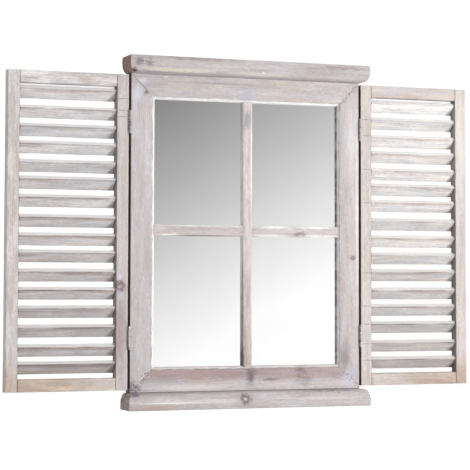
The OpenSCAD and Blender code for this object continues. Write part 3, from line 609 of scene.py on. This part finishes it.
# ---- Glazing bars ----
# A cross of slim fir bars stands on the glass. Their edges are rounded, and the bars are
# halved over each other so that the rounds meet in a neat cross at the middle.
bar_mid_z = 0.3045
bar_half = 0.0095
bar_ease = 0.0003
bar_top = bar_mid_z + bar_half - 0.001
bar_foot = bar_mid_z - bar_half + 0.001
# White for the bars: thick wash on their edges, and painted light on the upright's sides.
bar_wash_and_light = srgb(244, 242, 239)
bar_finish = {
    "upright_bar": dict(
        along="Z", seed=31, wash=srgb(217, 212, 210), cool=srgb(210, 204, 205),
        tan=srgb(214, 207, 200), cover=0.90,
        spots=[
            # The bar's left side wall, turned from the light, is painted white as painted light.
            ((-bar_half, 0.0085, 0.300), (0.004, 0.0035, 0.300), bar_wash_and_light, 1.0, 0.0),
            # Pale lines down the right edge: wash brightened as a painted highlight where the edge
            # faces the light.
            ((0.0075, frame_face_y, 0.420), (0.0030, 0.02, 0.120), srgb(238, 234, 222), 0.8, 1.0),
            ((0.0080, frame_face_y, 0.180), (0.0025, 0.02, 0.110), bar_wash_and_light, 0.6, 1.2)],
        stains=[
            ((0.0, 0.0035, 0.500), (0.012, 0.02, 0.026), srgb(190, 190, 204), 0.8, 1.6),
            ((0.0, 0.0035, 0.080), (0.030, 0.03, 0.210), srgb(233, 228, 226), 0.9, 0.8),
            ((-0.0085, 0.0045, 0.080), (0.0045, 0.010, 0.045), soot, 0.9, 0.8),
            # Grey down the rounded left edge: painted shade on the side turned from the light.
            ((-0.0085, 0.0045, 0.160), (0.0034, 0.006, 0.120), srgb(186, 186, 182), 0.9, 0.5),
            ((-0.0085, 0.0045, 0.300), (0.0022, 0.0030, 0.300), srgb(224, 224, 226), 0.9, 0.3)]),
    "cross_bar": dict(
        along="X", seed=32, wash=srgb(204, 194, 192), cool=srgb(200, 193, 196),
        tan=srgb(203, 193, 186), cover=0.86,
        spots=[
            ((-0.160, frame_face_y, bar_mid_z + 0.002), (0.014, 0.02, 0.008),
             srgb(220, 216, 220), 0.45, 2.2),
            ((-0.080, frame_face_y, bar_top + 0.0004), (0.120, 0.02, 0.0032), bar_wash_and_light, 0.7, 1.2),
            ((-0.145, frame_face_y, bar_foot + 0.0002), (0.036, 0.02, 0.0036), bar_wash_and_light, 0.9, 1.0),
            ((0.095, frame_face_y, bar_mid_z), (0.085, 0.02, 0.012),
             srgb(220, 217, 222), 0.35, 1.6),
            ((0.050, frame_face_y, bar_top), (0.050, 0.02, 0.0056), bar_wash_and_light, 1.0, 1.2),
            ((0.130, frame_face_y, bar_top), (0.055, 0.02, 0.0056), bar_wash_and_light, 1.0, 1.2),
            ((0.050, frame_face_y, bar_foot), (0.050, 0.02, 0.0050), bar_wash_and_light, 1.0, 1.4),
            ((0.135, frame_face_y, bar_foot), (0.050, 0.02, 0.0050), bar_wash_and_light, 1.0, 1.4)],
        stains=[
            ((0.1000, frame_face_y, bar_mid_z - 0.0040), (0.014, 0.02, 0.0060), soot, 0.5, 3.6),
            ((0.075, frame_face_y, bar_mid_z - 0.006), (0.050, 0.02, 0.004), grime, 0.3, 3.4),
            ((-0.085, frame_face_y, bar_foot - 0.001), (0.085, 0.02, 0.0022), grime, 0.9, 0.8)]),
}
for part, finish in bar_finish.items():
    bar = eased_copy(part, part + "_rounded", bar_ease)
    bar.data.materials.append(limed_timber(part + " timber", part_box(part), **finish))

# ---- Mirror glass ----
# One sheet of silvered float glass fills the rebate behind the bars. It is clean, with only
# the faintest bloom on it.


def grey(level):
    """A neutral colour from its 0 to 255 value."""
    return srgb(level, level, level)


def dress(node_name, material):
    """Gives a CAD node its finish."""
    slots = frame["nodes"][node_name].data.materials
    slots.clear()
    slots.append(material)


silvered, tree, shader, place = new_material("silvered glass")
bloom = noise(tree, place, (14, 14, 9), 3.0)
silver = tint(tree, fade(tree, bloom, 0.3, 0.7), grey(249), grey(246))
tree.links.new(silver, shader.inputs["Base Color"])
tree.links.new(fade(tree, bloom, 0.35, 0.75, 0.0, 0.03), shader.inputs["Roughness"])
shader.inputs["Metallic"].default_value = 1.0
dress("mirror_glass", silvered)

# ---- Back panel ----
# A sheet of brown hardboard backs the glass, rough side out, with the mesh of the press in
# its surface. It is held in the rebate with the glass.
mesh_scale = 160.0
hardboard, tree, shader, place = new_material("hardboard")
speckle = noise(tree, place, (420, 420, 420), 4.0, 0.7)
cloud = noise(tree, place, (9, 9, 9))
brown = tint(tree, fade(tree, speckle, 0.3, 0.7), srgb(116, 84, 58), srgb(152, 117, 84))
brown = tint(tree, fade(tree, cloud, 0.35, 0.65, 0.0, 0.35), brown, srgb(104, 76, 54))
tree.links.new(brown, shader.inputs["Base Color"])
wires = [node(tree, "ShaderNodeTexWave", {"Vector": place, "Scale": mesh_scale},
              bands_direction=direction).outputs["Fac"] for direction in ("X", "Z")]
weave = maths(tree, "ADD", maths(tree, "MULTIPLY", *wires), maths(tree, "MULTIPLY", speckle, 0.6))
bump = node(tree, "ShaderNodeBump", {"Strength": 0.6, "Distance": 0.0004, "Height": weave})
tree.links.new(bump.outputs[0], shader.inputs["Normal"])
shader.inputs["Roughness"].default_value = 0.8
dress("back_panel", hardboard)

# ---- Plated steel: glazing points, hanger plates, hinges and screws ----
# Small pressed and turned steel parts with a dull zinc plating, a little scratched. The
# hinges caught some of the lime wash.
smear_colour = srgb(190, 184, 180)


def plated_steel(name, light, dark, smear=0.0):
    """Dull plated steel, with a share of it smeared with lime wash."""
    material, tree, shader, place = new_material(name)
    mottle = noise(tree, place, (260, 260, 260), 3.0)
    scratch = noise(tree, place, (900, 900, 60))
    smeared = fade(tree, noise(tree, place, (120, 120, 45), 3.0),
                   0.62 - 0.3 * smear, 0.72 - 0.3 * smear)
    smeared = maths(tree, "MULTIPLY", smeared, min(1.0, smear * 1.5))
    colour = tint(tree, fade(tree, mottle, 0.35, 0.65), dark, light)
    tree.links.new(tint(tree, smeared, colour, smear_colour), shader.inputs["Base Color"])
    tree.links.new(maths(tree, "SUBTRACT", 1.0, smeared), shader.inputs["Metallic"])
    roughness = maths(tree, "ADD", fade(tree, scratch, 0.3, 0.7, 0.3, 0.5),
                      maths(tree, "MULTIPLY", smeared, 0.3))
    tree.links.new(roughness, shader.inputs["Roughness"])
    bump = node(tree, "ShaderNodeBump", {"Strength": 0.3, "Distance": 0.0001, "Height": scratch})
    tree.links.new(bump.outputs[0], shader.inputs["Normal"])
    return material


zinc = plated_steel("zinc plated steel", srgb(196, 198, 200), srgb(160, 162, 166))
hinge_steel = plated_steel("hinge steel", srgb(176, 174, 171), srgb(128, 124, 121), 0.4)
for part in ("glazing_points", "hanger_plates", "hanger_screws"):
    dress(part, zinc)
for part in ("frame_hinge_leaves", "left_hinge_leaves", "right_hinge_leaves", "hinge_pins",
             "frame_hinge_screws", "left_hinge_screws", "right_hinge_screws"):
    dress(part, hinge_steel)

# ---- Shutter frames ----
# Each shutter is two stiles the full height with a short rail tenoned in at top and bottom.
# The right one is paler than the left. The edges that face the frame are hardly washed, and
# are painted dark as the shade in the gap, with a painted highlight along their front arris. The
# inner sides between the slats are hardly washed, and are painted darker as the shade between
# the slats. The left shutter's outer side, turned from the light, is painted light, and the
# right meeting stile is painted lighter towards the top, where more light falls.
shutter_in = 0.2166
shutter_out = 0.4271
stile_w = 0.021
highlight_w = 0.0020
skin = 0.0005
first_seed = 41
stile_cool = srgb(205, 199, 199)
rail_cool = srgb(210, 202, 196)
# A painted highlight along the front arris of a hinge stile by the gap, and light painted on an
# outer side turned from the light.
arris_highlight = srgb(230, 222, 215)
lit_outer_side = srgb(240, 232, 226)
crack_brown = srgb(172, 156, 152)
foot_brown = srgb(228, 214, 202)
knot_chalk = srgb(222, 217, 228)
shutter_finish = {
    "left": dict(
        wash=srgb(226, 220, 219), hinge_stile=srgb(209, 201, 200), top_rail=srgb(234, 229, 228),
        bottom_rail=srgb(234, 221, 206), inner_side_wash_and_shade=srgb(152, 140, 136), outer_side_light=0.8,
        cover=0.93, seed_shift=0, cracks=(0.527, 0.507, 0.496),
        knots=[((-0.2320, frame_face_y, 0.209), 0.0104)],
        hinge_spots=[
            ((-0.231, frame_face_y, 0.223), (0.007, 0.02, 0.010), knot_chalk, 0.9, 1.8),
            ((-0.229, frame_face_y, 0.194), (0.008, 0.02, 0.013), knot_chalk, 0.9, 1.8)],
        hinge_stains=[
            ((-0.229, frame_face_y, 0.140), (0.016, 0.04, 0.100), srgb(218, 209, 212), 0.9, 1.2)],
        meeting_light_spots=[]),
    "right": dict(
        wash=srgb(210, 203, 199), hinge_stile=srgb(213, 206, 202), top_rail=srgb(208, 196, 184),
        bottom_rail=srgb(210, 203, 199), inner_side_wash_and_shade=srgb(146, 134, 130), outer_side_light=0.1,
        cover=0.90, seed_shift=50,
        cracks=(0.507, 0.478, 0.418, 0.358, 0.233, 0.174, 0.142, 0.107, 0.078),
        knots=[], hinge_spots=[], hinge_stains=[],
        # The upper part of the meeting stile is painted lighter, where more light falls.
        meeting_light_spots=[
            ((0.417, frame_face_y, 0.460), (0.020, 0.03, 0.150), srgb(236, 232, 229), 0.35, 1.2)]),
}


def rail_ends(way):
    """From where to where a rail or a slat shows between the stiles, lower value first."""
    return sorted((way * (shutter_in + stile_w), way * (shutter_out - stile_w)))


for side, look in shutter_finish.items():
    way = -1 if side == "left" else 1
    cracks = [((way * 0.228, frame_face_y, height), (0.0140, 0.02, 0.0011), crack_brown, 0.7, 0.6)
              for height in look["cracks"]]
    foot_stains = [((way * 0.40, frame_face_y, 0.035), (0.16, 0.05, 0.060), foot_brown, 0.9, 1.0)]
    shutter_parts = {
        "hinge_stile": dict(
            along="Z", cool=stile_cool, knots=look["knots"], spots=look["hinge_spots"],
            stains=look["hinge_stains"] + cracks,
            coats=[
                # A painted highlight on the front arris by the gap; the side facing the frame
                # hardly washed and painted dark as the gap's shade; the inner side hardly washed
                # and painted darker as the shade between the slats.
                ((-way, 0, 0), -shutter_in - highlight_w, arris_highlight, 0.5, 0.0004),
                ((-way, 0, 0), -shutter_in - skin, gap_shadow, 1.0, 0.0003),
                ((way, 0, 0), shutter_in + stile_w - skin, look["inner_side_wash_and_shade"], 1.0, 0.0003)]),
        "meeting_stile": dict(
            along="Z", cool=stile_cool, spots=look["meeting_light_spots"], stains=foot_stains,
            coats=[
                # The inner side painted darker as the shade between the slats, and the outer side
                # painted lighter as painted light, strongly on the left shutter, where it is turned
                # from the light.
                ((-way, 0, 0), stile_w - shutter_out - skin, look["inner_side_wash_and_shade"], 1.0, 0.0003),
                ((way, 0, 0), shutter_out - skin, lit_outer_side, look["outer_side_light"], 0.0003)]),
        "top_rail": dict(along="X", joint_axis="X", cool=cool_wash),
        "bottom_rail": dict(along="X", joint_axis="X", cool=rail_cool, stains=foot_stains),
    }
    for number, (part, finish) in enumerate(shutter_parts.items()):
        name = f"{side}_{part}"
        low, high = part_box(name)
        if part.endswith("rail"):
            low.x, high.x = rail_ends(way)
        dress(name, limed_timber(
            name + " timber", (low, high), seed=first_seed + number + look["seed_shift"],
            wash=look.get(part, look["wash"]), cover=look["cover"], **finish))

# ---- Slats ----
# Sixteen slats in each shutter, sawn from many boards, so each has its own tone, and they
# grow darker and warmer towards the bottom. The broad lower face took a cool, pale wash,
# streaked under the nose with a band of painted shade. The narrow face above the nose is
# creamier, and it is rubbed brown along the nose. A dark line of painted shade is drawn where
# each slat goes into the stiles.
slat_count = 16
nose_share = 0.735
tone_spread = 11
# The dark line where a slat goes into a stile is painted shade, this wide.
slat_joint_shade_w = 0.003
warmth_range = (-1.5, 2.5)
cover_range = (0.86, 0.96)
wear_range = (0.8, 1.0)
nose_brown = srgb(128, 112, 107)
under_nose_shade = srgb(222, 212, 206)
slat_finish = {
    # stain is the strength of the painted shade under the nose.
    "left": dict(level=(237, 235, 236), narrow=srgb(238, 236, 235), fall=33, seed=51,
                 worn=0.6, stain=1.0),
    "right": dict(level=(246, 245, 244), narrow=srgb(226, 223, 220), fall=35, seed=52,
                  worn=0.35, stain=0.5),
}

# The narrow face above a slat's nose, the worn line along the nose, and a streaky band of painted
# shade under it.
slat_faces, given, result = new_group(
    "slat faces", [("Vector", "Vector"), ("Nose", "Float")],
    [("Narrow Face", "Float"), ("Nose Line", "Float"), ("Shade Under Nose", "Float")])
above_nose = maths(slat_faces, "SUBTRACT", axes(slat_faces, given["Vector"])["Z"], given["Nose"])
slat_faces.links.new(fade(slat_faces, above_nose, -0.0006, 0.0008), result["Narrow Face"])
worn = noise(slat_faces, given["Vector"], (13, 60, 60), 4.0, 0.6)
line = maths(slat_faces, "MULTIPLY", fade(slat_faces, above_nose, -0.0026, -0.0004),
             fade(slat_faces, above_nose, 0.0002, 0.0014, 1.0, 0.0))
line = maths(slat_faces, "MULTIPLY", line, fade(slat_faces, worn, 0.36, 0.60, 0.2, 1.0))
slat_faces.links.new(line, result["Nose Line"])
streaked = noise(slat_faces, given["Vector"], (7, 90, 90), 4.0, 0.6)
# A streaky band of painted shade under the nose.
under = maths(slat_faces, "MULTIPLY", fade(slat_faces, above_nose, -0.0085, -0.0030),
              fade(slat_faces, above_nose, -0.0008, 0.0002, 1.0, 0.0))
under = maths(slat_faces, "MULTIPLY", under, fade(slat_faces, streaked, 0.42, 0.58))
slat_faces.links.new(under, result["Shade Under Nose"])

for side, look in slat_finish.items():
    tones = random.Random(look["seed"])
    for number in range(1, slat_count + 1):
        name = f"{side}_slat_{number:02d}"
        pick = random.Random(name)
        fall = (number - 1) / (slat_count - 1)
        tone = tones.uniform(-tone_spread, tone_spread) - look["fall"] * fall
        warmth = pick.uniform(*warmth_range) + 2.5 * fall
        red, green, blue = (level + tone for level in look["level"])
        wash = srgb(red + 4 + warmth, green + 4, blue + 4 - warmth)
        cool = srgb(red - 10, green - 8, blue - 3)
        tan = srgb(red - 2, green - 7, blue - 15)
        low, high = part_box(name)
        low.x, high.x = rail_ends(-1 if side == "left" else 1)
        timber = limed_timber(
            name + " timber", (low, high), "X", name, wash=wash, cool=cool, tan=tan,
            cover=pick.uniform(*cover_range) - 0.10 * fall,
            joint_axis="X", joint_dirt_and_shade_w=slat_joint_shade_w)
        tree, shader, place, colour = paint_over(timber)
        nose_z = low.z + nose_share * (high.z - low.z)
        faces = placed(tree, slat_faces, {"Vector": place, "Nose": nose_z})
        worn = pick.uniform(*wear_range) * (look["worn"] + (1 - look["worn"]) * fall)
        for zone, strength, zone_colour, mode in (
                ("Narrow Face", 0.6, look["narrow"], "MIX"),
                ("Shade Under Nose", look["stain"], under_nose_shade, "MULTIPLY"),
                ("Nose Line", worn, nose_brown, "MIX")):
            amount = maths(tree, "MULTIPLY", faces[zone], strength)
            colour = tint(tree, amount, colour, zone_colour, mode)
        tree.links.new(colour, shader.inputs["Base Color"])
        dress(name, timber)

# ---- Studio ----
# A pale floor well below the hanging mirror and a pale backdrop far behind it, soft light
# from the front and the right, and a white surround. Both surfaces show white to the lens,
# and from behind they are clear.
floor_z = -0.3
backdrop_y = 7
stage_size = 16
white_stage, tree, shader, _ = new_material("white stage")
shader.inputs["Base Color"].default_value = grey(240)
shader.inputs["Roughness"].default_value = 0.9
ray = node(tree, "ShaderNodeLightPath").outputs
seen = maths(tree, "MAXIMUM", ray["Is Camera Ray"], ray["Is Glossy Ray"])
shader.inputs["Emission Color"].default_value = (1, 1, 1, 1)
tree.links.new(maths(tree, "MULTIPLY", seen, 0.8), shader.inputs["Emission Strength"])
behind = node(tree, "ShaderNodeNewGeometry").outputs["Backfacing"]
clear = node(tree, "ShaderNodeBsdfTransparent").outputs[0]
mixed = node(tree, "ShaderNodeMixShader", {0: behind, 1: shader.outputs[0], 2: clear}).outputs[0]
tree.links.new(mixed, tree.nodes["Material Output"].inputs["Surface"])
bpy.ops.object.select_all(action="DESELECT")
bpy.ops.mesh.primitive_plane_add(size=stage_size, location=(0, 0, floor_z))
floor = bpy.context.object
floor.name = "floor"
floor.data.materials.append(white_stage)
backdrop_middle = (0, backdrop_y, floor_z + stage_size / 2)
bpy.ops.mesh.primitive_plane_add(
    size=stage_size, location=backdrop_middle, rotation=(math.pi / 2, 0, 0))
backdrop = bpy.context.object
backdrop.name = "backdrop"
backdrop.data.materials.append(white_stage)

# A tall curved card stands before the mirror and is seen only in reflections: dark grey
# above and to the left, white below and to the right. Its shades are given as a share of
# the way from dark to light, and the grey there.
card_radius = 1.2
card_height = 6
card_mid_z = 0.4
card_cut_y = -0.25
card_glow = 1.085
shade_top_z, shade_drop = 0.65, 0.64
shade_left_x, shade_run = 0.2, 0.43
sideways = 0.45
shade_start, shade_span = -0.6, 2.0
shade_stops = [(0.0, 118), (0.3, 133), (0.48, 175), (0.594, 202), (0.731, 232), (0.844, 251),
               (1.0, 255)]
bpy.ops.mesh.primitive_cylinder_add(
    vertices=128, radius=card_radius, depth=card_height, end_fill_type="NOTHING",
    location=(0, 0, card_mid_z))
card = bpy.context.object
card.name = "gradient_card"
bpy.ops.object.transform_apply(location=True, rotation=True, scale=True)
bpy.ops.object.mode_set(mode="EDIT")
bpy.ops.mesh.select_all(action="SELECT")
bpy.ops.mesh.bisect(plane_co=(0, card_cut_y, 0), plane_no=(0, 1, 0), clear_outer=True)
bpy.ops.object.mode_set(mode="OBJECT")
card_paint, tree, _, place = new_material("gradient card")
card_x, _, card_z = axes(tree, place)
down = maths(tree, "DIVIDE", maths(tree, "SUBTRACT", shade_top_z, card_z), shade_drop)
right = maths(tree, "DIVIDE", maths(tree, "SUBTRACT", card_x, shade_left_x), shade_run)
light = maths(tree, "ADD", down, maths(tree, "MULTIPLY", right, sideways))
light = maths(tree, "DIVIDE", maths(tree, "ADD", light, -shade_start), shade_span)
shades = node(tree, "ShaderNodeValToRGB", {0: light})
ramp = shades.color_ramp.elements
ramp[0].color, ramp[1].color = grey(shade_stops[0][1]), grey(shade_stops[-1][1])
for position, level in shade_stops[1:-1]:
    ramp.new(position).color = grey(level)
glow = node(tree, "ShaderNodeEmission", {"Color": shades.outputs[0], "Strength": card_glow})
tree.links.new(glow.outputs[0], tree.nodes["Material Output"].inputs["Surface"])
card.data.materials.append(card_paint)
card.visible_camera = False
card.visible_diffuse = False
card.visible_shadow = False
card.visible_transmission = False

mirror_middle = Vector((0, 0, 0.3))


def soft_light(name, place, size, watts, colour):
    """A square soft box at a place, turned to the mirror."""
    bpy.ops.object.light_add(type="AREA", location=place)
    lamp = bpy.context.object
    lamp.name = name
    lamp.rotation_euler = (mirror_middle - Vector(place)).to_track_quat("-Z", "Y").to_euler()
    lamp.data.size = size
    lamp.data.energy = watts
    lamp.data.color = colour


soft_light("key_light", (2.15, -2.8, 0.36), 0.16, 87, (1.0, 0.992, 0.982))
soft_light("fill_light", (-2.6, -0.7, 0.5), 1.4, 11, (1.0, 0.99, 0.98))
soft_light("back_light", (0.6, 2.6, 2.6), 1.6, 34, (1.0, 1.0, 1.0))
soft_light("top_light", (0.3, -1.2, 2.2), 1.6, 19, (0.98, 0.99, 1.0))

ambient_level = 0.16
mirrored_level = 0.8
world = bpy.data.worlds.new("studio")
bpy.context.scene.world = world
world.use_nodes = True
tree = world.node_tree
ray = node(tree, "ShaderNodeLightPath").outputs
reflected = maths(tree, "MULTIPLY", ray["Is Glossy Ray"], mirrored_level)
seen = maths(tree, "MAXIMUM", ray["Is Camera Ray"], reflected)
ambient, white = (
    node(tree, "ShaderNodeBackground", {"Color": (1, 1, 1, 1), "Strength": level}).outputs[0]
    for level in (ambient_level, 1.0))
mixed = node(tree, "ShaderNodeMixShader", {0: seen, 1: ambient, 2: white}).outputs[0]
tree.links.new(mixed, tree.nodes["World Output"].inputs["Surface"])
bpy.context.scene.view_settings.view_transform = "Standard"
